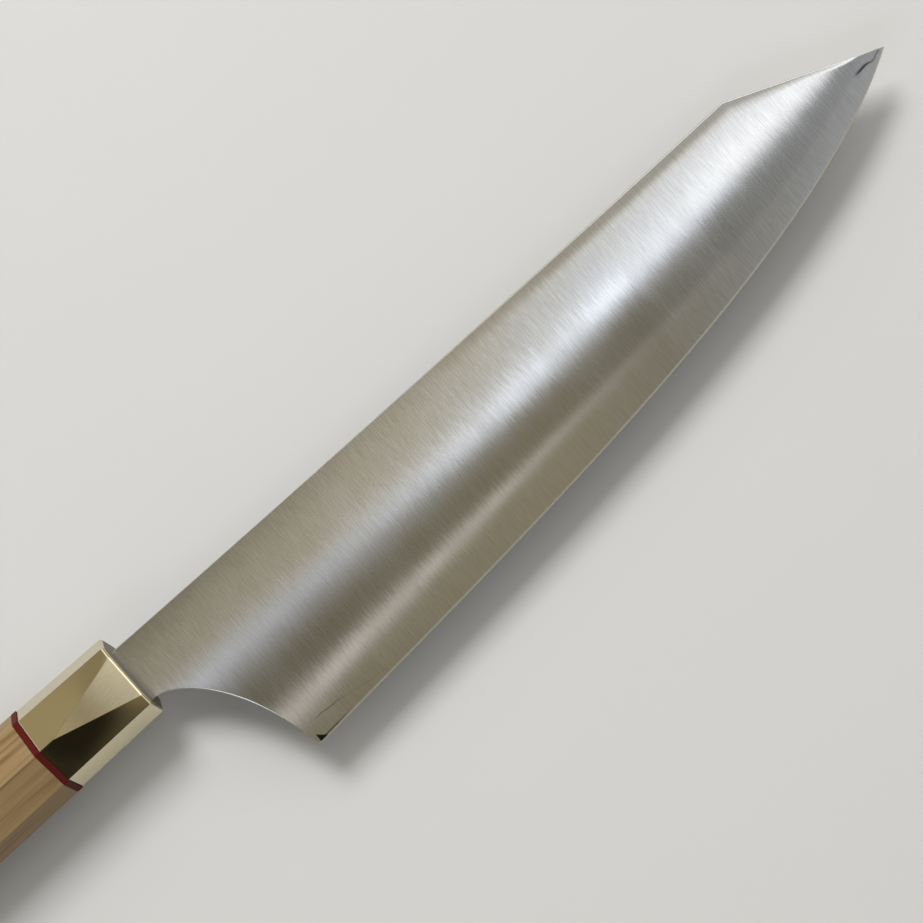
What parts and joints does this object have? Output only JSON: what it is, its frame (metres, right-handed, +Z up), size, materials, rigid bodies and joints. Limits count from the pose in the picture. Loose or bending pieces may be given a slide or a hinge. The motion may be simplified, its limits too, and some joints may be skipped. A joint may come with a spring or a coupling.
{
  "type": "gyuto knife",
  "caption": "Japanese chef's knife with an angled point: clad satin steel blade, octagonal metal bolster with triangular side flats, thin red spacer and octagonal wooden handle",
  "frame": {"origin": "under the middle of the knife's box, on the surface that it lies on", "axes": "+X runs along the knife to the tip, +Y from the edge to the spine, +Z up out of the blade's right face"},
  "size_m": [0.3662, 0.0554, 0.0264],
  "materials": {
    "core_steel": "fine ground, a little smoother than the cladding",
    "satin_cladding": "satin, fine scratches from spine to edge",
    "nickel_silver": "polished pale champagne",
    "red_fibre": "matt vulcanised fibre",
    "handle_wood": "straight grain, oiled",
    "dowel_wood": "plain hardwood",
    "epoxy": "cast"
  },
  "bodies": {
    "root": {"core_steel": "core_steel", "cladding_right": "satin_cladding", "cladding_left": "satin_cladding", "bolster": "nickel_silver", "spacer": "red_fibre", "handle": "handle_wood", "dowel": "dowel_wood", "tang_epoxy": "epoxy"}
  },
  "joints": []
}
